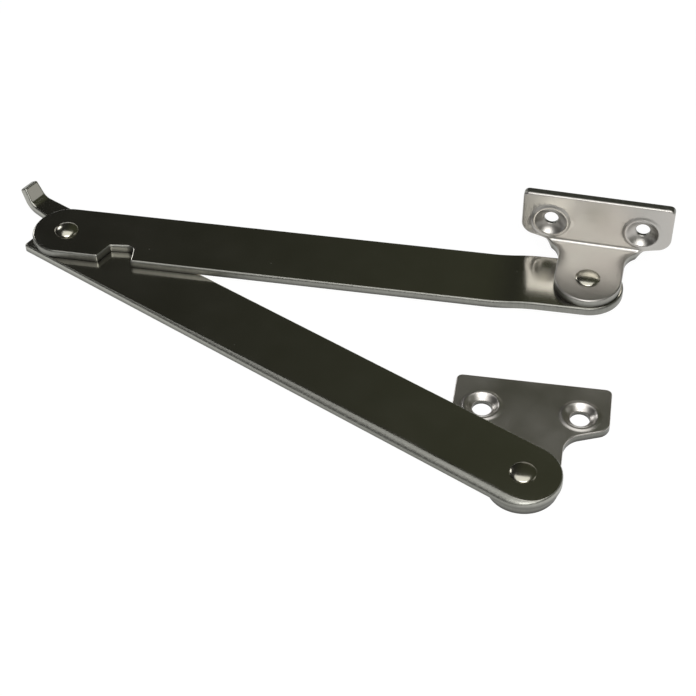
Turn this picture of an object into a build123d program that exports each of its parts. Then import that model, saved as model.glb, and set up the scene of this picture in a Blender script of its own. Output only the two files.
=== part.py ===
from build123d import *
import math
import os

# Folding lid support: two flat arms joined by an elbow rivet, a flat bracket for the cabinet side
# at the lower arm's end and an angled bracket for the lid at the upper arm's end.
# It lies flat with its elbow to the left. The origin is on the side bracket's pivot axis, on its
# back face. X runs along the side bracket's screw holes, Y to its far edge, Z up from its back.

# Arms, stamped from strip
arm_width = 16.0
arm_thickness = 1.8
upper_arm_length = 120.8
lower_arm_length = 125.0
lower_edge_round = 0.4
upper_edge_round = 0.3

# Directions in which the pieces lie, in degrees from X
upper_arm_turn = -0.8
lower_arm_turn = -26.6
lid_bracket_turn = -3.6

# Notch in the near edge of the upper arm, measured from the elbow
notch_start = 9.6
notch_end = 17.6
notch_depth = 5.0
notch_lead = 2.0
notch_rise = 0.5
notch_corner_round = 1.5
notch_lip_round = 0.35
elbow_edge_relief = 0.45

# Joggle that lifts the upper arm's lid end over the side bracket rivet's head
joggle_to_pivot = 10.0
joggle_run = 12.0

# Tail of the lower arm: square end and a narrow lug bent up beside the upper arm
tail_length = 6.6
tail_corner_round = 0.8
lug_bend_start = 12.0
lug_bend_radius = 4.5
lug_bend_angle = 55.0
lug_rise = 3.9
lug_root_width = 5.6
lug_tip_width = 4.2
lug_root_round = 1.5

# Brackets, stamped from like blanks, the lid bracket then bent to an angle
bracket_thickness = 1.8
bracket_width = 33.0
bracket_neck_width = 14.8
bracket_edge_chamfer = 0.2
screw_spacing = 20.5
wing_corner_round = 1.3
neck_fillet = 4.5
side_wing_start = 12.4
side_wing_slope = 21.5
side_wing_round = 2.8
side_screw_line = 19.0
side_far_edge = 27.5
flange_width = 33.5
flange_face = 11.3
flange_height = 14.4
flange_screw_height = 7.15
flange_bend_radius = 1.35
flange_wing_start = 2.1
flange_wing_slope = 8.0
flange_wing_round = 3.4
flange_neck_flare = 2.85
flange_flare_run = 6.4

# Screw holes, each in a shallow bowl with a raised round rim
side_hole_diameter = 4.2
lid_hole_diameter = 3.2
rim_crest_diameter = 7.6
rim_outer_diameter = 9.3
bowl_diameter = 7.0
side_bowl_depth = 0.8
lid_bowl_depth = 1.05
side_rim_height = 0.25
lid_rim_height = 0.3

# Rivets
rivet_diameter = 3.0
rivet_head_diameter = 5.5
rivet_head_height = 0.75
rivet_head_edge = 0.15
elbow_head_height = 1.0
closed_head_diameter = 5.0
closed_head_height = 0.7
flush_tail_diameter = 4.4
flush_tail_depth = 0.7

# Clearances
running_clearance = 0.05
head_play = 0.05
rim_clearance = 0.1
elbow_gap = 0.12
lid_gap = 0.12
crossing_clearance = 0.12

# Levels, from the side bracket's back face upwards
lower_arm_bottom = bracket_thickness + side_rim_height + rim_clearance
lower_arm_top = lower_arm_bottom + arm_thickness
upper_arm_bottom = lower_arm_top + elbow_gap
upper_arm_top = upper_arm_bottom + arm_thickness
raised_end_bottom = lower_arm_top + head_play + rivet_head_height + crossing_clearance
raised_end_top = raised_end_bottom + arm_thickness
lid_bracket_bottom = raised_end_top + lid_gap
lid_bracket_lug_top = lid_bracket_bottom + bracket_thickness

# Widths and radii that several pieces share
arm_half_width = arm_width / 2
rivet_radius = rivet_diameter / 2
running_hole_radius = rivet_radius + running_clearance
neck_half_width = bracket_neck_width / 2
bracket_half_width = bracket_width / 2
flange_half_width = flange_width / 2
cut_through = 4 * flange_height


def direction(turn):
    """Unit vector in the XY plane, turn degrees from X."""
    angle = math.radians(turn)
    return Vector(math.cos(angle), math.sin(angle), 0)


# Pivot axes
side_pivot = Vector(0, 0, 0)
elbow = side_pivot - lower_arm_length * direction(lower_arm_turn)
lid_pivot = elbow + upper_arm_length * direction(upper_arm_turn)

# One level plane for each piece, with its origin on a pivot and its X along the piece
side_plane = Plane(origin=side_pivot, x_dir=direction(0), z_dir=(0, 0, 1))
lower_plane = Plane(origin=elbow, x_dir=direction(lower_arm_turn), z_dir=(0, 0, 1))
upper_plane = Plane(origin=elbow, x_dir=direction(upper_arm_turn), z_dir=(0, 0, 1))
lid_plane = Plane(origin=lid_pivot, x_dir=direction(lid_bracket_turn), z_dir=(0, 0, 1))


def upright(plane):
    """The plane stood up on its X axis, so that its Y is the part's Z."""
    return Plane(origin=plane.origin, x_dir=plane.x_dir, z_dir=-plane.y_dir)


def sideways(plane):
    """The plane stood up on its Y axis, so that its X is the piece's Y and its Y is the part's Z."""
    return Plane(origin=plane.origin, x_dir=plane.y_dir, z_dir=plane.x_dir)


def drill(plane, radius):
    """Cut a round hole of this radius right through the piece, at the plane's origin."""
    with BuildSketch(plane) as hole:
        Circle(radius)
    extrude(hole.sketch, amount=cut_through, both=True, mode=Mode.SUBTRACT)


def countersink_for_tail(plane):
    """Cut the cone for a rivet's flush tail, its wide end on the plane."""
    wide_edge = (flush_tail_diameter / 2, 0)
    narrow_edge = (rivet_radius, flush_tail_depth)
    with BuildSketch(upright(plane)) as cone:
        with BuildLine():
            Polyline((0, 0), wide_edge, narrow_edge, (0, flush_tail_depth), close=True)
        make_face()
    revolve(cone.sketch, axis=Axis(plane.origin, plane.z_dir), mode=Mode.SUBTRACT)


def screw_hole(face, hole_diameter, rim_height, bowl_depth):
    """Raise the rim round a screw hole, then sink its bowl and hole, on a plane that faces outwards."""
    axis = Axis(face.origin, face.z_dir)
    crest = (rim_crest_diameter / 2, rim_height)
    foot = (rim_outer_diameter / 2, 0)
    with BuildSketch(upright(face)) as rim:
        with BuildLine():
            Polyline(crest, foot, (foot[0], -rim_height), (0, -rim_height), (0, rim_height), close=True)
        make_face()
    revolve(rim.sketch, axis=axis)
    lip = (bowl_diameter / 2, rim_height)
    floor = (hole_diameter / 2, -bowl_depth)
    above = (lip[0], cut_through)
    below = (floor[0], -cut_through)
    with BuildSketch(upright(face)) as bowl:
        with BuildLine():
            Polyline(lip, floor, below, (0, below[1]), (0, above[1]), above, close=True)
        make_face()
    revolve(bowl.sketch, axis=axis, mode=Mode.SUBTRACT)


def rivet(plane, seat, head_height, tail_points):
    """Turn a rivet on a pivot: domed head above its seat, shank, then the tail's points to the axis."""
    edge = (rivet_head_diameter / 2, seat + rivet_head_edge)
    crown = (0, seat + head_height)
    with BuildSketch(upright(plane)) as section:
        with BuildLine():
            TangentArc(crown, edge, tangent=(1, 0))
            Polyline(edge, (edge[0], seat), (rivet_radius, seat), *tail_points, crown)
        make_face()
    revolve(section.sketch, axis=Axis(plane.origin, plane.z_dir))


def outer_edges(part, top):
    """Edges where the level face at this height meets the upright walls."""
    walls = part.faces().filter_by(lambda face: abs(face.normal_at().Z) < 0.1)
    levels = part.faces().filter_by(lambda face: face.normal_at().Z > 0.9)
    levels = levels.filter_by_position(Axis.Z, top - running_clearance, top + running_clearance)
    return levels.edges() & walls.edges()


# Side bracket: flat plate with two wings, screwed to the cabinet's side
with BuildPart() as side_bracket:
    wing_edge_rise = (bracket_half_width - neck_half_width) * math.tan(math.radians(side_wing_slope))
    with BuildSketch(side_plane):
        with BuildLine():
            CenterArc((0, 0), neck_half_width, -90, 90)
            FilletPolyline(
                (neck_half_width, 0),
                (neck_half_width, side_wing_start),
                (bracket_half_width, side_wing_start + wing_edge_rise),
                (bracket_half_width, side_far_edge),
                (0, side_far_edge),
                radius=[neck_fillet, side_wing_round, wing_corner_round],
            )
            mirror(about=Plane.YZ)
        make_face()
    extrude(amount=bracket_thickness)
    chamfer(outer_edges(side_bracket.part, bracket_thickness), length=bracket_edge_chamfer)
    for side in (-1, 1):
        hole_place = Location((side * screw_spacing / 2, side_screw_line, bracket_thickness))
        screw_hole(side_plane.moved(hole_place), side_hole_diameter, side_rim_height, side_bowl_depth)
    drill(side_plane, rivet_radius)
    countersink_for_tail(side_plane)
side_bracket.part.label = "side_bracket"

# Side bracket rivet: fixed in the side bracket with a flush tail, the lower arm turns on it
with BuildPart() as side_bracket_rivet:
    flush_tail = [(rivet_radius, flush_tail_depth), (flush_tail_diameter / 2, 0), (0, 0)]
    rivet(side_plane, lower_arm_top + head_play, rivet_head_height, flush_tail)
side_bracket_rivet.part.label = "side_bracket_rivet"

# Lower arm: flat strip with a round end, a square tail and a lug bent up from the tail's far side
with BuildPart() as lower_arm:
    bend = math.radians(lug_bend_angle)
    leg_start_height = lug_bend_radius * (1 - math.cos(bend))
    leg_length = (lug_rise - leg_start_height) / math.sin(bend)
    bend_in = (-lug_bend_start, 0)
    bend_out = (-lug_bend_start - lug_bend_radius * math.sin(bend), leg_start_height)
    tip = (bend_out[0] - leg_length * math.cos(bend), lug_rise)
    under_tip = (tip[0] - arm_thickness * math.sin(bend), tip[1] - arm_thickness * math.cos(bend))
    under_out = (bend_out[0] - arm_thickness * math.sin(bend), bend_out[1] - arm_thickness * math.cos(bend))
    end = lower_arm_length + arm_half_width
    strip_end = end + arm_thickness
    with BuildSketch(upright(lower_plane.offset(lower_arm_top))):
        with BuildLine():
            Polyline(bend_in, (strip_end, 0), (strip_end, -arm_thickness), (-lug_bend_start, -arm_thickness))
            TangentArc((-lug_bend_start, -arm_thickness), under_out, tangent=(-1, 0))
            Polyline(under_out, under_tip, tip, bend_out)
            TangentArc(bend_in, bend_out, tangent=(-1, 0))
        make_face()
    extrude(amount=arm_width, both=True)
    beyond_tip = under_tip[0] - arm_thickness
    root_edge = arm_half_width - lug_root_width
    tip_edge = arm_half_width - lug_tip_width
    with BuildSketch(lower_plane):
        with BuildLine():
            FilletPolyline(
                (lower_arm_length, -arm_half_width),
                (-tail_length, -arm_half_width),
                (-tail_length, root_edge),
                (beyond_tip, tip_edge),
                radius=[tail_corner_round, lug_root_round],
            )
            Polyline((beyond_tip, tip_edge), (beyond_tip, arm_half_width), (lower_arm_length, arm_half_width))
            ThreePointArc(
                (lower_arm_length, -arm_half_width), (end, 0), (lower_arm_length, arm_half_width)
            )
        make_face()
    extrude(amount=cut_through, mode=Mode.INTERSECT)
    fillet(outer_edges(lower_arm.part, lower_arm_top), radius=lower_edge_round)
    drill(lower_plane, rivet_radius)
    drill(lower_plane.moved(Location((lower_arm_length, 0, 0))), running_hole_radius)
lower_arm.part.label = "lower_arm"

# Elbow rivet: fixed in the lower arm with a low closed head, the upper arm turns on it
with BuildPart() as elbow_rivet:
    closed_radius = closed_head_diameter / 2
    closed_bottom = lower_arm_bottom - closed_head_height
    closed_head = [
        (rivet_radius, lower_arm_bottom),
        (closed_radius, lower_arm_bottom),
        (closed_radius, lower_arm_bottom - rivet_head_edge),
        (closed_radius - closed_head_height, closed_bottom),
        (0, closed_bottom),
    ]
    rivet(upper_plane, upper_arm_top + head_play, elbow_head_height, closed_head)
elbow_rivet.part.label = "elbow_rivet"

# Upper arm: flat strip with round ends, a notch for the lug and a joggled lid end
with BuildPart() as upper_arm:
    joggle_end = upper_arm_length - joggle_to_pivot
    joggle_start = joggle_end - joggle_run
    joggle_middle = (joggle_start + joggle_end) / 2
    rise = raised_end_top - upper_arm_top
    end = upper_arm_length + arm_half_width
    strip_start = -arm_half_width - arm_thickness
    strip_end = end + arm_thickness
    with BuildSketch(upright(upper_plane.offset(upper_arm_top))):
        with BuildLine():
            for level in (0, -arm_thickness):
                Line((strip_start, level), (joggle_start, level))
                TangentArc((joggle_start, level), (joggle_middle, level + rise / 2), tangent=(1, 0))
                TangentArc((joggle_end, level + rise), (joggle_middle, level + rise / 2), tangent=(-1, 0))
                Line((joggle_end, level + rise), (strip_end, level + rise))
            Line((strip_start, 0), (strip_start, -arm_thickness))
            Line((strip_end, rise), (strip_end, rise - arm_thickness))
        make_face()
    extrude(amount=arm_width, both=True)
    notch_bottom = notch_depth - arm_half_width
    relieved_edge = elbow_edge_relief - arm_half_width
    relief_start = -math.sqrt(arm_half_width**2 - relieved_edge**2)
    with BuildSketch(upper_plane):
        with BuildLine():
            ThreePointArc(
                (0, arm_half_width), (-arm_half_width, 0), (relief_start, relieved_edge)
            )
            FilletPolyline(
                (relief_start, relieved_edge),
                (notch_start, relieved_edge),
                (notch_start + notch_lead, notch_bottom - notch_rise),
                (notch_end - notch_rise, notch_bottom),
                (notch_end, -arm_half_width),
                (upper_arm_length, -arm_half_width),
                radius=[notch_lip_round, notch_lip_round, notch_corner_round, notch_lip_round],
            )
            ThreePointArc(
                (upper_arm_length, -arm_half_width), (end, 0), (upper_arm_length, arm_half_width)
            )
            Line((upper_arm_length, arm_half_width), (0, arm_half_width))
        make_face()
    extrude(amount=cut_through, mode=Mode.INTERSECT)
    fillet(outer_edges(upper_arm.part, upper_arm_top), radius=upper_edge_round)
    drill(upper_plane, running_hole_radius)
    drill(upper_plane.moved(Location((upper_arm_length, 0, 0))), rivet_radius)
    countersink_for_tail(lid_plane.offset(raised_end_bottom))
upper_arm.part.label = "upper_arm"

# Lid bracket rivet: fixed in the upper arm with a flush tail, the lid bracket turns on it
with BuildPart() as lid_bracket_rivet:
    raised_tail = [
        (rivet_radius, raised_end_bottom + flush_tail_depth),
        (flush_tail_diameter / 2, raised_end_bottom),
        (0, raised_end_bottom),
    ]
    rivet(lid_plane, lid_bracket_lug_top + head_play, rivet_head_height, raised_tail)
lid_bracket_rivet.part.label = "lid_bracket_rivet"

# Lid bracket: a like blank with its wings bent up to a flange, screwed to the lid
with BuildPart() as lid_bracket:
    lug_level = lid_plane.offset(lid_bracket_bottom)
    flange_back = flange_face + bracket_thickness
    bend_line = flange_face - flange_bend_radius
    bend_top = bracket_thickness + flange_bend_radius
    with BuildSketch(sideways(lug_level)):
        with BuildLine():
            Polyline(
                (bend_line, 0),
                (-neck_half_width, 0),
                (-neck_half_width, bracket_thickness),
                (bend_line, bracket_thickness),
            )
            TangentArc((bend_line, bracket_thickness), (flange_face, bend_top), tangent=(1, 0))
            Polyline(
                (flange_face, bend_top),
                (flange_face, flange_height),
                (flange_back, flange_height),
                (flange_back, bend_top),
            )
            TangentArc((bend_line, 0), (flange_back, bend_top), tangent=(1, 0))
        make_face()
    extrude(amount=flange_half_width, both=True)
    wing_root = neck_half_width + flange_neck_flare
    flange_edge_rise = (flange_half_width - wing_root) * math.tan(math.radians(flange_wing_slope))
    with BuildSketch(upright(lug_level)):
        with BuildLine():
            Polyline((0, 0), (wing_root, 0), (wing_root, flange_wing_start))
            FilletPolyline(
                (wing_root, flange_wing_start),
                (flange_half_width, flange_wing_start + flange_edge_rise),
                (flange_half_width, flange_height),
                (0, flange_height),
                radius=[flange_wing_round, wing_corner_round],
            )
            mirror(about=Plane.YZ)
        make_face()
    extrude(amount=cut_through, both=True, mode=Mode.INTERSECT)
    flare_start = flange_back - flange_flare_run
    with BuildSketch(lug_level):
        Rectangle(2 * cut_through, 2 * cut_through)
        with BuildLine():
            CenterArc((0, 0), neck_half_width, -90, 90)
            Line((neck_half_width, 0), (neck_half_width, flare_start))
            TangentArc((neck_half_width, flare_start), (wing_root, flange_back), tangent=(0, 1))
            Polyline((wing_root, flange_back), (wing_root, cut_through), (0, cut_through))
            mirror(about=Plane.YZ)
        make_face(mode=Mode.SUBTRACT)
    extrude(amount=flange_wing_start, mode=Mode.SUBTRACT)
    for side in (-1, 1):
        hole_place = Location((side * screw_spacing / 2, flange_face, flange_screw_height))
        screw_hole(upright(lug_level.moved(hole_place)), lid_hole_diameter, lid_rim_height, lid_bowl_depth)
    drill(lug_level, running_hole_radius)
lid_bracket.part.label = "lid_bracket"

os.makedirs("parts", exist_ok=True)
for piece in (
    side_bracket,
    side_bracket_rivet,
    lower_arm,
    elbow_rivet,
    upper_arm,
    lid_bracket_rivet,
    lid_bracket,
):
    export_step(piece.part, f"parts/{piece.part.label}.step")
    print(piece.part.label, round(piece.part.volume, 2))
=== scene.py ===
import math

import bmesh
import bpy
from mathutils import Matrix, Vector, noise


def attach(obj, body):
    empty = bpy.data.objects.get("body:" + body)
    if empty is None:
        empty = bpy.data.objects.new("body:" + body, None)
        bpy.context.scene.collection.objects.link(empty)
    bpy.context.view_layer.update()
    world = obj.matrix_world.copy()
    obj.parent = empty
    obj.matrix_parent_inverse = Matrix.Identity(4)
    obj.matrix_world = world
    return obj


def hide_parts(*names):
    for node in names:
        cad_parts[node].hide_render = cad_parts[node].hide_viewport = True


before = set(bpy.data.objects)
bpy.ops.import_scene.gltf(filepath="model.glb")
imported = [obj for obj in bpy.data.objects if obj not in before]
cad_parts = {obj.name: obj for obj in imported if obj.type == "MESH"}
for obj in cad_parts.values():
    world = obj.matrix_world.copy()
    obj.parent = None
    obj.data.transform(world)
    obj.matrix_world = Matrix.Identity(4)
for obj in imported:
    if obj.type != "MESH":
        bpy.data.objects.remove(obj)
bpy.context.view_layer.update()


# Side bracket: stamped from steel sheet, with two screw holes pressed into bowls whose metal has
# risen into round rims. It is tumbled to a satin, nickel-plated, and screwed to the cabinet.
# All sizes are in millimetres, until a finished shape is brought to metres.
metres = 0.001
bracket_thickness = 1.8
bracket_half_width = 16.5
neck_half_width = 7.4
screw_offset = 10.25
side_screw_line = 19.0
side_wing_edge = 12.4
side_wing_corner = 15.985
side_far_edge = 27.5
side_roll = 0.28
rivet_radius = 1.5
side_pivot_place = (0, 0, 0)

# Steps and limits of the meshes. A full round stops a hair short of the half width, so that the
# round beside it doesn't run into it.
hair = 0.01
touching = 0.001
weld_distance = 0.03
least_corner_steps = 4
corner_steps_per_mm = 4
roll_steps = 5
circle_steps = 72
crease_angle = math.radians(40)


def corner_cut(before, corner, after, radius):
    """Distance from a corner to where its round starts, for a round of this radius."""
    turn = (Vector(corner) - Vector(before)).angle(Vector(after) - Vector(corner))
    return radius * math.tan(turn / 2)


def rounded_sheet(corners, height):
    """Flat sheet at this height, cut to its corners, which are (x, y, radius)."""
    shape = bmesh.new()
    outline = [shape.verts.new((x, y, height)) for x, y, radius in corners]
    shape.faces.new(outline)
    for index, (x, y, radius) in enumerate(corners):
        before = corners[index - 1]
        after = corners[(index + 1) % len(corners)]
        cut = corner_cut(before[:2], (x, y), after[:2], radius)
        steps = max(least_corner_steps, round(radius * corner_steps_per_mm))
        bmesh.ops.bevel(
            shape, geom=[outline[index]], offset=cut, offset_type="OFFSET", affect="VERTICES",
            segments=steps, profile=0.5, material=-1,
        )
    bmesh.ops.remove_doubles(shape, verts=shape.verts, dist=weld_distance)
    return shape


def roll_over(shape, top, roll):
    """Lead the edge of the top face up a quarter round, as the punch rolls it over."""
    for step in range(roll_steps):
        start = math.radians(90 * step / roll_steps)
        stop = math.radians(90 * (step + 1) / roll_steps)
        inward = roll * (math.cos(start) - math.cos(stop))
        rise = roll * (math.sin(stop) - math.sin(start))
        bmesh.ops.inset_region(shape, faces=[top], thickness=inward, use_even_offset=True)
        bmesh.ops.translate(shape, verts=top.verts, vec=(0, 0, rise))


def hole_wall(shape, x, y, face_height, profile):
    """Spin the wall of a hole from its profile, and return the open edges round its two mouths."""
    points = [
        shape.verts.new((x + radius, y, face_height + height)) for radius, height in profile
    ]
    lines = [shape.edges.new(pair) for pair in zip(points, points[1:])]
    bmesh.ops.spin(
        shape, geom=points + lines, cent=(x, y, 0), axis=(0, 0, 1), angle=2 * math.pi,
        steps=circle_steps, use_merge=True,
    )
    centre = Vector((x, y))
    reach = profile[0][0] + hair
    return [
        edge for edge in shape.edges
        if len(edge.link_faces) == 1
        and all((vert.co.xy - centre).length < reach for vert in edge.verts)
    ]


def blank(corners, bottom, thickness, roll, holes):
    """Stamped blank whose top edge is rolled over by the punch. Each hole is (x, y, profile), the
    profile a list of (radius, height over the top face) points down to the back."""
    shape = rounded_sheet(corners, bottom)
    lifted = bmesh.ops.extrude_face_region(shape, geom=shape.faces[:])["geom"]
    top = next(part for part in lifted if isinstance(part, bmesh.types.BMFace))
    if top.normal.z < 0:
        top.normal_flip()
    bmesh.ops.translate(shape, verts=top.verts, vec=(0, 0, thickness - roll))
    roll_over(shape, top, roll)
    back = min(shape.faces, key=lambda face: face.calc_center_median().z)
    top_rim = list(top.edges)
    back_rim = list(back.edges)
    bmesh.ops.delete(shape, geom=[top, back], context="FACES_ONLY")
    half_way = bottom + thickness / 2
    for x, y, profile in holes:
        mouths = hole_wall(shape, x, y, bottom + thickness, profile)
        top_rim += [edge for edge in mouths if edge.verts[0].co.z > half_way]
        back_rim += [edge for edge in mouths if edge.verts[0].co.z <= half_way]
    bmesh.ops.triangle_fill(shape, use_beauty=True, edges=top_rim, normal=(0, 0, 1))
    bmesh.ops.triangle_fill(shape, use_beauty=True, edges=back_rim, normal=(0, 0, -1))
    return shape


def mark_walls(shape, flattest):
    """Give the second material to the sheared walls, whose normals rise by less than this."""
    for face in shape.faces:
        face.normal_update()
        if abs(face.normal.z) < flattest:
            face.material_index = 1


def finish_piece(shape, name, materials, turn, place, body, node):
    """Turn the shape about its pivot, bring it to metres at its place, and fix it to its body."""
    bmesh.ops.recalc_face_normals(shape, faces=shape.faces)
    for edge in shape.edges:
        edge.smooth = len(edge.link_faces) == 2 and edge.calc_face_angle(0) < crease_angle
    for face in shape.faces:
        face.smooth = True
    rotation = Matrix.Rotation(math.radians(turn), 4, "Z")
    bmesh.ops.transform(shape, verts=shape.verts, matrix=rotation)
    bmesh.ops.translate(shape, verts=shape.verts, vec=place)
    bmesh.ops.scale(shape, verts=shape.verts, vec=(metres, metres, metres))
    mesh = bpy.data.meshes.new(name)
    shape.to_mesh(mesh)
    shape.free()
    for material in materials:
        mesh.materials.append(material)
    piece = bpy.data.objects.new(name, mesh)
    bpy.context.collection.objects.link(piece)
    even = piece.modifiers.new("even_shading", "WEIGHTED_NORMAL")
    even.keep_sharp = True
    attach(piece, body)
    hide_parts(node)


def metal(name):
    """Material with a metallic shader, and its node tree and shader."""
    material = bpy.data.materials.new(name)
    material.use_nodes = True
    shader = material.node_tree.nodes["Principled BSDF"]
    shader.inputs["Metallic"].default_value = 1.0
    return material, material.node_tree, shader


def object_place(tree):
    """Coordinates on the object itself."""
    return tree.nodes.new("ShaderNodeTexCoord").outputs["Object"]


def mottle(tree, place, scale, detail):
    """Uneven value of about 0.3 to 0.7 at this place, finer with a larger scale."""
    spots = tree.nodes.new("ShaderNodeTexNoise")
    spots.inputs["Scale"].default_value = scale
    spots.inputs["Detail"].default_value = detail
    tree.links.new(place, spots.inputs["Vector"])
    return spots.outputs["Fac"]


def spread(tree, value, low, high, new_low, new_high, easing="LINEAR"):
    """Value spread from its old low and high to the new ones, and held there beyond them."""
    change = tree.nodes.new("ShaderNodeMapRange")
    change.interpolation_type = easing
    change.inputs["From Min"].default_value = low
    change.inputs["From Max"].default_value = high
    change.inputs["To Min"].default_value = new_low
    change.inputs["To Max"].default_value = new_high
    tree.links.new(value, change.inputs["Value"])
    return change.outputs["Result"]


def two_tone(tree, share, first, second):
    """Colour between the first, a tuple or a socket, and the second, a tuple, by this share."""
    tones = tree.nodes.new("ShaderNodeMix")
    tones.data_type = "RGBA"
    if isinstance(first, tuple):
        tones.inputs["A"].default_value = (*first, 1.0)
    else:
        tree.links.new(first, tones.inputs["A"])
    tones.inputs["B"].default_value = (*second, 1.0)
    tree.links.new(share, tones.inputs["Factor"])
    return tones.outputs["Result"]


def added(tree, first, second):
    """Sum of two values."""
    total = tree.nodes.new("ShaderNodeMath")
    total.operation = "ADD"
    tree.links.new(first, total.inputs[0])
    tree.links.new(second, total.inputs[1])
    return total.outputs["Value"]


def raised(tree, height, strength, depth):
    """Normal of a surface with this fine relief, its depth in metres."""
    relief = tree.nodes.new("ShaderNodeBump")
    relief.inputs["Strength"].default_value = strength
    relief.inputs["Distance"].default_value = depth
    tree.links.new(height, relief.inputs["Height"])
    return relief.outputs["Normal"]


patch_scale = 90.0
patch_detail = 5.0
patch_low = 0.3
patch_high = 0.7
speck_scale = 520.0
speck_detail = 1.0
speck_rim = 0.78
speck_middle = 0.84
speck_dullness = 0.2
grain_scale = 700.0
grain_detail = 4.0
grain_strength = 0.3


def plating(name, colour, dull_colour, roughness, change, grain_depth, stretch, turn):
    """Nickel plate on steel: dulled patches that are rougher or smoother by this change, small
    specks, and a grain that is finer across the piece by this stretch."""
    material, tree, shader = metal(name)
    along = tree.nodes.new("ShaderNodeMapping")
    along.vector_type = "TEXTURE"
    along.inputs["Rotation"].default_value = (0.0, 0.0, math.radians(turn))
    tree.links.new(object_place(tree), along.inputs["Vector"])
    place = along.outputs["Vector"]
    patches = mottle(tree, place, patch_scale, patch_detail)
    tree.links.new(two_tone(tree, patches, dull_colour, colour), shader.inputs["Base Color"])
    smoothest = roughness - change
    roughest = roughness + change
    uneven = spread(tree, patches, patch_low, patch_high, smoothest, roughest)
    specks = mottle(tree, place, speck_scale, speck_detail)
    dull_specks = spread(tree, specks, speck_rim, speck_middle, 0.0, speck_dullness)
    tree.links.new(added(tree, uneven, dull_specks), shader.inputs["Roughness"])
    drawn = tree.nodes.new("ShaderNodeMapping")
    drawn.inputs["Scale"].default_value = (1.0, stretch, stretch)
    tree.links.new(place, drawn.inputs["Vector"])
    grain = mottle(tree, drawn.outputs["Vector"], grain_scale, grain_detail)
    normal = raised(tree, grain, grain_strength, grain_depth)
    tree.links.new(normal, shader.inputs["Normal"])
    return material


streak_scale = 2200.0
streak_detail = 3.0
streak_stretch = 0.12
streak_strength = 0.4
streak_depth = 0.00003
edge_roughness = 0.4
edge_roughness_change = 0.12
darkest_streak = 0.72
lightest_streak = 1.2
# Darkest tone and its share at the foot of a sheared wall: the fracture zone, with painted shade
# over it.
torn_and_painted_shade = 0.3
fracture_and_shade_share = 0.85


def shaded(colour, share):
    """Colour darkened or lightened to this share of itself."""
    return tuple(share * channel for channel in colour)


def sheared_edge(name, colour, roughness, bottom, fracture_and_shade_height):
    """Sheared edge of the sheet under its plating: burnished, with fine streaks straight through
    the thickness.
    Its lower part, up to this height, is darkened for the torn fracture zone and for painted shade
    at the foot of the wall."""
    material, tree, shader = metal(name)
    place = object_place(tree)
    through = tree.nodes.new("ShaderNodeMapping")
    through.inputs["Scale"].default_value = (1.0, 1.0, streak_stretch)
    tree.links.new(place, through.inputs["Vector"])
    streaks = mottle(tree, through.outputs["Vector"], streak_scale, streak_detail)
    burnished = two_tone(
        tree, streaks, shaded(colour, darkest_streak), shaded(colour, lightest_streak)
    )
    level = tree.nodes.new("ShaderNodeSeparateXYZ")
    tree.links.new(place, level.inputs["Vector"])
    # Darker towards the foot of the wall: the torn fracture zone, with painted shade over it.
    fracture_and_shade = spread(
        tree, level.outputs["Z"], bottom * metres, (bottom + fracture_and_shade_height) * metres,
        fracture_and_shade_share, 0.0, easing="SMOOTHSTEP",
    )
    torn_and_shaded = two_tone(tree, fracture_and_shade, burnished, shaded(colour, torn_and_painted_shade))
    tree.links.new(torn_and_shaded, shader.inputs["Base Color"])
    smoothest = roughness - edge_roughness_change
    roughest = roughness + edge_roughness_change
    uneven = spread(tree, streaks, 0.0, 1.0, smoothest, roughest)
    tree.links.new(uneven, shader.inputs["Roughness"])
    normal = raised(tree, streaks, streak_strength, streak_depth)
    tree.links.new(normal, shader.inputs["Normal"])
    return material


satin_nickel = plating(
    "satin_nickel", colour=(0.72, 0.69, 0.65), dull_colour=(0.64, 0.61, 0.57),
    roughness=0.34, change=0.06, grain_depth=0.00002, stretch=1.0, turn=0.0,
)
# Its colour is painted shade, set for how light falls on this bracket's walls; the lid bracket's
# edge, from the same sheet, is lighter.
side_edge = sheared_edge(
    "side_bracket_edge", colour=(0.2, 0.2, 0.18), roughness=edge_roughness,
    bottom=0.0, fracture_and_shade_height=1.1,
)
side_bowl = [
    (4.65, 0.0), (4.35, 0.05), (4.1, 0.15), (3.92, 0.22), (3.75, 0.245), (3.58, 0.22),
    (3.42, 0.12), (3.1, -0.15), (2.7, -0.46), (2.4, -0.64), (2.22, -0.74), (2.12, -0.84),
    (2.1, -0.95), (2.1, -bracket_thickness),
]
side_corners = [
    (-neck_half_width, -neck_half_width, neck_half_width - hair),
    (neck_half_width, -neck_half_width, neck_half_width - hair),
    (neck_half_width, side_wing_edge, 4.5),
    (bracket_half_width, side_wing_corner, 2.8),
    (bracket_half_width, side_far_edge, 1.3),
    (-bracket_half_width, side_far_edge, 1.3),
    (-bracket_half_width, side_wing_corner, 2.8),
    (-neck_half_width, side_wing_edge, 4.5),
]
side_holes = [
    (-screw_offset, side_screw_line, side_bowl),
    (screw_offset, side_screw_line, side_bowl),
    (0.0, 0.0, [(rivet_radius, 0.0), (rivet_radius, -bracket_thickness)]),
]
shape = blank(side_corners, 0.0, bracket_thickness, side_roll, side_holes)
mark_walls(shape, flattest=0.2)
finish_piece(
    shape, "side_bracket_plate", [satin_nickel, side_edge], 0.0, side_pivot_place,
    "side_bracket", "side_bracket",
)

# Side bracket rivet: turned steel, its tail flush in the bracket's back and its head upset to a low
# dome over the lower arm, which swings on it. It is plated with the rest and polished by the punch.
head_radius = 2.75
head_edge = 0.15
crown_radius = head_radius - 0.03
dome_steps = 16
dome_fullness = 2.3
dome_shoulder = 0.75
low_dome = 0.75
tail_radius = 2.2
tail_depth = 0.7
side_seat = 4.0


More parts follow.
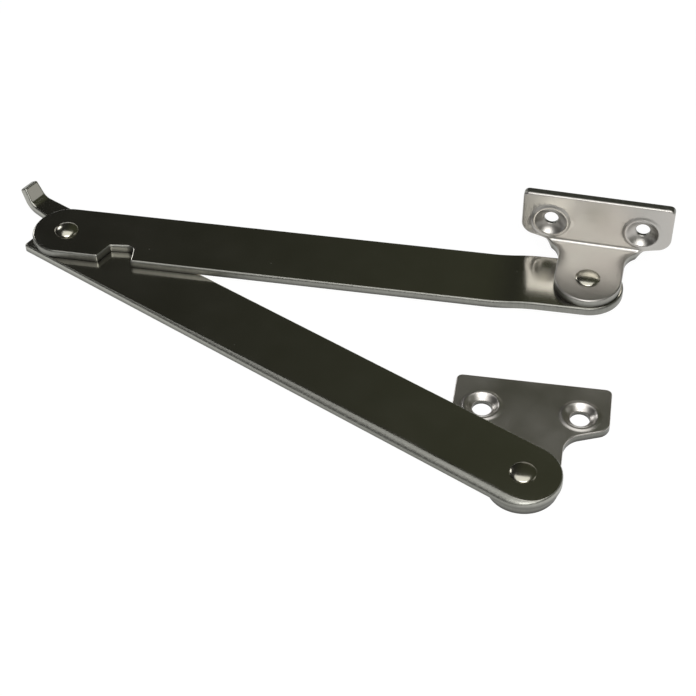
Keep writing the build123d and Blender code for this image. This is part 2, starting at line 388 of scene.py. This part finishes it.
def dome(seat, height):
    """Profile of a pressed head, from its crown out and down to the shank, its edge softened."""
    rise = height - head_edge
    crown = []
    for step in range(dome_steps):
        out = math.sin(math.radians(90) * step / dome_steps)
        share = (1 - out**dome_fullness)**dome_shoulder
        crown.append((crown_radius * out, seat + head_edge + rise * share))
    edge = [
        (crown_radius, seat + head_edge + 0.01),
        (head_radius, seat + head_edge - 0.05),
        (head_radius - 0.04, seat + 0.02),
        (head_radius - 0.1, seat),
        (rivet_radius, seat),
    ]
    return crown + edge


def flush_tail(bottom):
    """Profile of a tail spread into a countersink, from the shank down to the axis."""
    return [(rivet_radius, bottom + tail_depth), (tail_radius, bottom), (0.0, bottom)]


def turned(profile):
    """Solid turned from a profile of (radius, height) points that starts and ends on the axis."""
    shape = bmesh.new()
    points = [shape.verts.new((radius, 0, height)) for radius, height in profile]
    lines = [shape.edges.new(pair) for pair in zip(points, points[1:])]
    bmesh.ops.spin(
        shape, geom=points + lines, cent=(0, 0, 0), axis=(0, 0, 1), angle=2 * math.pi,
        steps=circle_steps, use_merge=True,
    )
    bmesh.ops.remove_doubles(shape, verts=shape.verts, dist=touching)
    return shape


# Its colour is painted shade: darker than the arms' nickel, to dim the bright reflections on the
# domes.
rivet_nickel = plating(
    "rivet_nickel", colour=(0.6, 0.58, 0.5), dull_colour=(0.5, 0.48, 0.4),
    roughness=0.2, change=0.03, grain_depth=0.00001, stretch=1.0, turn=0.0,
)
finish_piece(
    turned(dome(side_seat, low_dome) + flush_tail(0.0)), "side_rivet", [rivet_nickel],
    0.0, side_pivot_place, "side_bracket", "side_bracket_rivet",
)

# Lower arm: stamped from bright cold-rolled strip and plated. The punch has rolled its top edges
# over unevenly and left its sides sheared, and the narrow lug beside its tail is bent up cold.
arm_half_width = 8.0
arm_thickness = 1.8
arm_round = arm_half_width - hair
beyond_near_edge = -arm_half_width - 1
running_radius = 1.55
lower_arm_turn = -26.6
lower_arm_length = 125.0
lower_arm_bottom = 2.15
lower_arm_top = lower_arm_bottom + arm_thickness
arm_end = lower_arm_length + arm_half_width
elbow_place = (-111.769, 55.97, 0)
tail_end = -6.6
lug_root = 2.1
lug_tip = 3.8
lug_bend_start = -13.4
lug_bend_radius = 2.2
lug_bend_angle = math.radians(58)
lug_bend_run = lug_bend_radius * lug_bend_angle
lug_straight = 3.3
lug_end = lug_bend_start - lug_bend_run - lug_straight
lower_roll = 0.5
bend_steps = 10
along_strip = Vector((1, 0, 0))


def cut_across(shape, places, direction):
    """Add an edge across the sheet at each of these distances in this direction."""
    for place in places:
        bmesh.ops.bisect_plane(
            shape, geom=shape.verts[:] + shape.edges[:] + shape.faces[:], dist=touching,
            plane_co=direction * place, plane_no=direction,
        )


def bend_up(shape, top, start, radius, angle, direction):
    """Bend the sheet up over this radius, from this start in this direction on."""
    run = radius * angle
    for vert in shape.verts:
        past = vert.co.dot(direction) - start
        if past > 0:
            turn = min(past / radius, angle)
            straight = max(past - run, 0)
            reach = radius + top - vert.co.z
            out = reach * math.sin(turn) + straight * math.cos(turn)
            vert.co += direction * (out - past)
            vert.co.z = top + radius - reach * math.cos(turn) + straight * math.sin(turn)


dip_cut_spacing = 1.1
dips_per_mm = 0.9
deepest_dip = 0.22


def uneven_roll(shape, top, roll, start, end, nearest):
    """Make the rolled top edge dip unevenly from start to end in x, as a worn punch leaves it,
    wherever y is more than nearest."""
    cuts = int((end - start) / dip_cut_spacing)
    cut_across(shape, [start + cut * dip_cut_spacing for cut in range(1, cuts)], along_strip)
    for vert in shape.verts:
        depth = top - vert.co.z
        if touching < depth <= roll + touching and vert.co.y > nearest:
            dip = 0.5 + 0.5 * noise.noise(vert.co * dips_per_mm)
            vert.co.z -= deepest_dip * dip * depth / roll


def eased(share):
    """Share of 0 to 1, eased in and out."""
    share = min(max(share, 0), 1)
    return share * share * (3 - 2 * share)


widest_roll = 2.0
deepest_roll = 1.15
spread_limit = 4.0
growth_start = 5
growth_run = 100
fade_start = -30
fade_run = 60
growth_cuts = 31
growth_cut_spacing = 4.0


def widen_near_roll(shape, top, length):
    """Let the near edge's roll grow towards the side pivot, where the punch was worn most, and fade
    out round the strip's end. What lies further in, up to the spread limit, moves over evenly."""
    for vert in shape.verts:
        depth = top - vert.co.z
        across = Vector((max(vert.co.x - length, 0), vert.co.y))
        inward = arm_half_width - across.length
        if depth > lower_roll + touching or inward > spread_limit:
            continue
        round_end = math.degrees(math.atan2(across.y, max(across.x, touching)))
        growth = eased((vert.co.x - growth_start) / growth_run)
        growth *= eased((fade_start - round_end) / fade_run)
        wide = 1 + growth * (widest_roll / lower_roll - 1)
        deep = 1 + growth * (deepest_roll / lower_roll - 1)
        if inward <= 0:
            moved = inward
        elif inward <= lower_roll:
            moved = inward * wide
        else:
            rest = (inward - lower_roll) / (spread_limit - lower_roll)
            moved = lower_roll * wide + rest * (spread_limit - lower_roll * wide)
        across *= (arm_half_width - moved) / across.length
        vert.co.x = min(vert.co.x, length) + across.x
        vert.co.y = across.y
        vert.co.z = top - depth * deep


arm_colour = (0.66, 0.64, 0.58)
arm_dull_colour = (0.6, 0.58, 0.52)
arm_roughness = 0.16
arm_roughness_change = 0.03
arm_grain_depth = 0.00001
arm_grain_stretch = 6.0
arm_edge_roughness = 0.42
arm_wall_flattest = 0.95
lower_nickel = plating(
    "lower_nickel", arm_colour, arm_dull_colour, arm_roughness, arm_roughness_change,
    arm_grain_depth, arm_grain_stretch, lower_arm_turn,
)
# Its colour is painted shade, set for how light falls on this arm's walls; the upper arm's edge,
# from the same strip, is darker.
lower_edge = sheared_edge(
    "lower_arm_edge", colour=(0.4, 0.4, 0.36), roughness=arm_edge_roughness,
    bottom=lower_arm_bottom, fracture_and_shade_height=1.5,
)
lower_corners = [
    (tail_end, -arm_half_width, 0.8),
    (arm_end, -arm_half_width, arm_round),
    (arm_end, arm_half_width, arm_round),
    (lug_end, arm_half_width, 0.5),
    (lug_end, lug_tip, 0.5),
    (tail_end, lug_root, 0.8),
]
lower_holes = [
    (0.0, 0.0, [(rivet_radius, 0.0), (rivet_radius, -arm_thickness)]),
    (lower_arm_length, 0.0, [(running_radius, 0.0), (running_radius, -arm_thickness)]),
]
shape = blank(lower_corners, lower_arm_bottom, arm_thickness, lower_roll, lower_holes)
mark_walls(shape, arm_wall_flattest)
growth_places = [growth_cut_spacing * (cut + 1) for cut in range(growth_cuts)]
cut_across(shape, growth_places, along_strip)
widen_near_roll(shape, lower_arm_top, lower_arm_length)
uneven_roll(shape, lower_arm_top, deepest_roll, lug_bend_start, arm_end, beyond_near_edge)
bend_places = [
    lug_bend_start - lug_bend_run * step / bend_steps for step in range(bend_steps + 1)
]
cut_across(shape, bend_places, along_strip)
bend_up(shape, lower_arm_top, -lug_bend_start, lug_bend_radius, lug_bend_angle, -along_strip)
finish_piece(
    shape, "lower_arm_strip", [lower_nickel, lower_edge], lower_arm_turn, elbow_place,
    "lower_arm", "lower_arm",
)

# Elbow rivet: the same turned rivet with a higher dome, closed under the lower arm with a low flat
# head, so that the upper arm swings on it.
elbow_seat = 5.92
high_dome = 1.1
closed_radius = 2.5
closed_head = [
    (rivet_radius, lower_arm_bottom),
    (closed_radius, lower_arm_bottom),
    (closed_radius, lower_arm_bottom - head_edge),
    (closed_radius - 0.12, lower_arm_bottom - 0.38),
    (closed_radius - 0.4, lower_arm_bottom - 0.6),
    (closed_radius - 0.75, lower_arm_bottom - 0.69),
    (closed_radius - 1.0, lower_arm_bottom - 0.7),
    (0.0, lower_arm_bottom - 0.7),
]
finish_piece(
    turned(dome(elbow_seat, high_dome) + closed_head), "elbow_rivet_turned", [rivet_nickel],
    0.0, elbow_place, "lower_arm", "elbow_rivet",
)

# Upper arm: stamped from the same strip, with a notch in its near edge that the lug stops in, and
# its lid end set up by a gentle joggle, so that it clears the side bracket's rivet.
upper_arm_turn = -0.8
upper_arm_length = 120.8
upper_arm_bottom = 4.07
upper_arm_top = upper_arm_bottom + arm_thickness
upper_end = upper_arm_length + arm_half_width
upper_roll = 0.42
relieved_edge = -7.55
notch_start = 9.6
notch_lead = 2.0
notch_end = 17.6
notch_bottom = -3.0
joggle_start = 98.8
joggle_run = 12.0
joggle_rise = 0.8
joggle_steps = 16
upper_nickel = plating(
    "upper_nickel", arm_colour, arm_dull_colour, arm_roughness, arm_roughness_change,
    arm_grain_depth, arm_grain_stretch, upper_arm_turn,
)
# Its colour is painted shade, set darker than the lower arm's edge from the same strip, for how
# light falls on this arm's walls.
upper_edge = sheared_edge(
    "upper_arm_edge", colour=(0.26, 0.26, 0.235), roughness=arm_edge_roughness,
    bottom=upper_arm_bottom, fracture_and_shade_height=1.0,
)
upper_corners = [
    (-arm_half_width, relieved_edge, -relieved_edge - hair),
    (notch_start, relieved_edge, 0.5),
    (notch_start + notch_lead, notch_bottom - 0.5, 0.5),
    (notch_end - 0.5, notch_bottom, 1.5),
    (notch_end, -arm_half_width, 0.5),
    (upper_end, -arm_half_width, arm_round),
    (upper_end, arm_half_width, arm_round),
    (-arm_half_width, arm_half_width, arm_round),
]
tail_countersink = [
    (rivet_radius, 0.0), (rivet_radius, tail_depth - arm_thickness), (tail_radius, -arm_thickness),
]
upper_holes = [
    (0.0, 0.0, [(running_radius, 0.0), (running_radius, -arm_thickness)]),
    (upper_arm_length, 0.0, tail_countersink),
]
shape = blank(upper_corners, upper_arm_bottom, arm_thickness, upper_roll, upper_holes)
mark_walls(shape, arm_wall_flattest)
uneven_roll(shape, upper_arm_top, upper_roll, -arm_half_width, upper_end, beyond_near_edge)
joggle_places = [
    joggle_start + joggle_run * step / joggle_steps for step in range(joggle_steps + 1)
]
cut_across(shape, joggle_places, along_strip)
for vert in shape.verts:
    share = min(max((vert.co.x - joggle_start) / joggle_run, 0), 1)
    lift = 2 * share**2 if share < 0.5 else 1 - 2 * (1 - share)**2
    vert.co.z += joggle_rise * lift
finish_piece(
    shape, "upper_arm_strip", [upper_nickel, upper_edge], upper_arm_turn, elbow_place,
    "upper_arm", "upper_arm",
)

# Lid bracket rivet: turned steel with the same low dome, its tail spread flush in the raised end of
# the upper arm, so that the lid bracket swings on it.
lid_pivot_place = (9.019, 54.283, 0)
raised_bottom = upper_arm_bottom + joggle_rise
lid_seat = 8.64
finish_piece(
    turned(dome(lid_seat, low_dome) + flush_tail(raised_bottom)), "lid_rivet", [rivet_nickel],
    0.0, lid_pivot_place, "upper_arm", "lid_bracket_rivet",
)

# Lid bracket: stamped from the same sheet as the side bracket, its bowls pressed deeper and its
# wings then folded up square, over a small radius, into a flange that is screwed to the lid.
lid_bracket_turn = -3.6
lid_bracket_bottom = 6.79
lid_bracket_top = lid_bracket_bottom + bracket_thickness
lid_roll = 0.42
fold_start = 10.4
fold_radius = 0.9
fold_angle = math.radians(90)
fold_run = fold_radius * fold_angle
fold_steps = 10
flange_half_width = 16.75
flange_height = 14.4
flange_screw_height = 7.15
flange_foot = fold_start + fold_run - bracket_thickness - fold_radius
flange_edge = flange_foot + flange_height
flange_screw_line = flange_foot + flange_screw_height
flange_wing_edge = 10.6
flange_wing_corner = 12.12
towards_lid = Vector((0, 1, 0))
# Its colour is painted shade: darker than the side bracket's satin nickel, though the sheet and
# plating are the same.
lid_satin = plating(
    "lid_satin", colour=(0.61, 0.572, 0.54), dull_colour=(0.4, 0.4, 0.372),
    roughness=0.38, change=0.06, grain_depth=0.00003, stretch=1.0, turn=lid_bracket_turn,
)
# Its colour is painted shade, set lighter than the side bracket's edge from the same sheet, for how
# light falls on this bracket's walls.
lid_edge = sheared_edge(
    "lid_bracket_edge", colour=(0.32, 0.32, 0.29), roughness=edge_roughness,
    bottom=lid_bracket_bottom, fracture_and_shade_height=1.1,
)
lid_bowl = [
    (4.65, 0.0), (4.4, 0.07), (4.15, 0.2), (3.95, 0.28), (3.78, 0.298), (3.62, 0.28),
    (3.48, 0.18), (3.2, -0.12), (2.75, -0.5), (2.3, -0.8), (1.95, -0.98), (1.72, -1.06),
    (1.62, -1.15), (1.6, -1.3), (1.6, -bracket_thickness),
]
lid_corners = [
    (-neck_half_width, -neck_half_width, neck_half_width - hair),
    (neck_half_width, -neck_half_width, neck_half_width - hair),
    (neck_half_width, flange_wing_edge, 4.8),
    (flange_half_width, flange_wing_corner, 3.2),
    (flange_half_width, flange_edge, 1.3),
    (-flange_half_width, flange_edge, 1.3),
    (-flange_half_width, flange_wing_corner, 3.2),
    (-neck_half_width, flange_wing_edge, 4.8),
]
lid_holes = [
    (-screw_offset, flange_screw_line, lid_bowl),
    (screw_offset, flange_screw_line, lid_bowl),
    (0.0, 0.0, [(running_radius, 0.0), (running_radius, -bracket_thickness)]),
]
shape = blank(lid_corners, lid_bracket_bottom, bracket_thickness, lid_roll, lid_holes)
mark_walls(shape, flattest=0.25)
uneven_roll(
    shape, lid_bracket_top, lid_roll, -flange_half_width, flange_half_width,
    flange_edge - lid_roll - hair,
)
fold_places = [fold_start + fold_run * step / fold_steps for step in range(fold_steps + 1)]
cut_across(shape, fold_places, towards_lid)
bend_up(shape, lid_bracket_top, fold_start, fold_radius, fold_angle, towards_lid)
finish_piece(
    shape, "lid_bracket_plate", [lid_satin, lid_edge], lid_bracket_turn, lid_pivot_place,
    "lid_bracket", "lid_bracket",
)

# Stage: a pale floor that keeps the shadow of the pieces, and that the camera and the metal see as
# white. From here on, sizes and places are in metres.
floor_size = 14.0
floor_drop = 0.0001
floor_grey = 0.85
floor_roughness = 0.9
white_strength = 1.1
white_share = 0.85
bpy.ops.mesh.primitive_plane_add(size=floor_size, location=(0, 0, -floor_drop))
floor = bpy.context.object
floor.name = "floor"
white = bpy.data.materials.new("white_floor")
white.use_nodes = True
tree = white.node_tree
shader = tree.nodes["Principled BSDF"]
shader.inputs["Base Color"].default_value = (floor_grey, floor_grey, floor_grey, 1.0)
shader.inputs["Roughness"].default_value = floor_roughness
glow = tree.nodes.new("ShaderNodeEmission")
glow.inputs["Color"].default_value = (1.0, 1.0, 1.0, 1.0)
glow.inputs["Strength"].default_value = white_strength
path = tree.nodes.new("ShaderNodeLightPath")
seen = added(tree, path.outputs["Is Camera Ray"], path.outputs["Is Glossy Ray"])
seen_through = added(tree, seen, path.outputs["Is Transmission Ray"])
share = tree.nodes.new("ShaderNodeMath")
share.operation = "MULTIPLY"
share.inputs[1].default_value = white_share
tree.links.new(seen_through, share.inputs[0])
mix = tree.nodes.new("ShaderNodeMixShader")
tree.links.new(share.outputs["Value"], mix.inputs["Fac"])
tree.links.new(shader.outputs["BSDF"], mix.inputs[1])
tree.links.new(glow.outputs["Emission"], mix.inputs[2])
tree.links.new(mix.outputs["Shader"], tree.nodes["Material Output"].inputs["Surface"])
floor.data.materials.append(white)

# Lights: four soft lamps round the middle of the stay, in a dim room that is darker to the left,
# which the polished arms reflect.
middle = (-0.045, 0.03, 0.0)
dark_side = -0.34
dark_side_colour = (0.018, 0.018, 0.016)
light_side = 0.0
light_side_colour = (0.048, 0.051, 0.033)


def soft_light(name, place, width, height, power):
    """Rectangular soft light that faces the middle of the stay."""
    light = bpy.data.lights.new(name, "AREA")
    light.shape = "RECTANGLE"
    light.size = width
    light.size_y = height
    light.energy = power
    lamp = bpy.data.objects.new(name, light)
    bpy.context.collection.objects.link(lamp)
    lamp.location = place
    aim = Vector(middle) - Vector(place)
    lamp.rotation_euler = aim.to_track_quat("-Z", "Y").to_euler()


soft_light("overhead_softbox", (-0.05, -0.15, 0.95), width=1.0, height=1.0, power=3.8)
soft_light("front_softbox", (0.08, -0.62, 0.68), width=0.6, height=0.5, power=4.4)
soft_light("left_softbox", (-0.76, 0.65, 0.46), width=0.25, height=0.25, power=0.7)
soft_light("right_card", (0.85, 0.1, 0.3), width=0.5, height=0.5, power=0.3)

world = bpy.data.worlds.new("dim_room")
bpy.context.scene.world = world
world.use_nodes = True
tree = world.node_tree
sides = tree.nodes.new("ShaderNodeSeparateXYZ")
tree.links.new(object_place(tree), sides.inputs["Vector"])
across = spread(tree, sides.outputs["X"], dark_side, light_side, 0.0, 1.0)
room = two_tone(tree, across, dark_side_colour, light_side_colour)
tree.links.new(room, tree.nodes["Background"].inputs["Color"])

# Camera: at the photograph's angle, turned a little left of square and looking down at 45 degrees,
# with a slight roll.
image_width = 696
focal_pixels = 1547.2
sensor_width = 36.0
nearest_seen = 0.01
camera_turn = math.radians(-11.0)
camera_pitch = math.radians(44.95)
camera_roll = math.radians(1.68)
camera_distance = 0.33187
camera_aim = Vector((-0.0402, 0.0276, 0.00577))
view = Vector((
    math.sin(camera_turn) * math.cos(camera_pitch),
    math.cos(camera_turn) * math.cos(camera_pitch),
    -math.sin(camera_pitch),
))
level_right = Vector((math.cos(camera_turn), -math.sin(camera_turn), 0.0))
level_down = view.cross(level_right)
right = math.cos(camera_roll) * level_right + math.sin(camera_roll) * level_down
up = math.sin(camera_roll) * level_right - math.cos(camera_roll) * level_down
lens = bpy.data.cameras.new("camera")
lens.sensor_width = sensor_width
lens.lens = focal_pixels * sensor_width / image_width
lens.clip_start = nearest_seen
camera = bpy.data.objects.new("camera", lens)
bpy.context.collection.objects.link(camera)
facing = Matrix((right, up, -view)).transposed().to_4x4()
camera.matrix_world = Matrix.Translation(camera_aim - camera_distance * view) @ facing
bpy.context.scene.camera = camera

bpy.context.scene.view_settings.view_transform = "Standard"
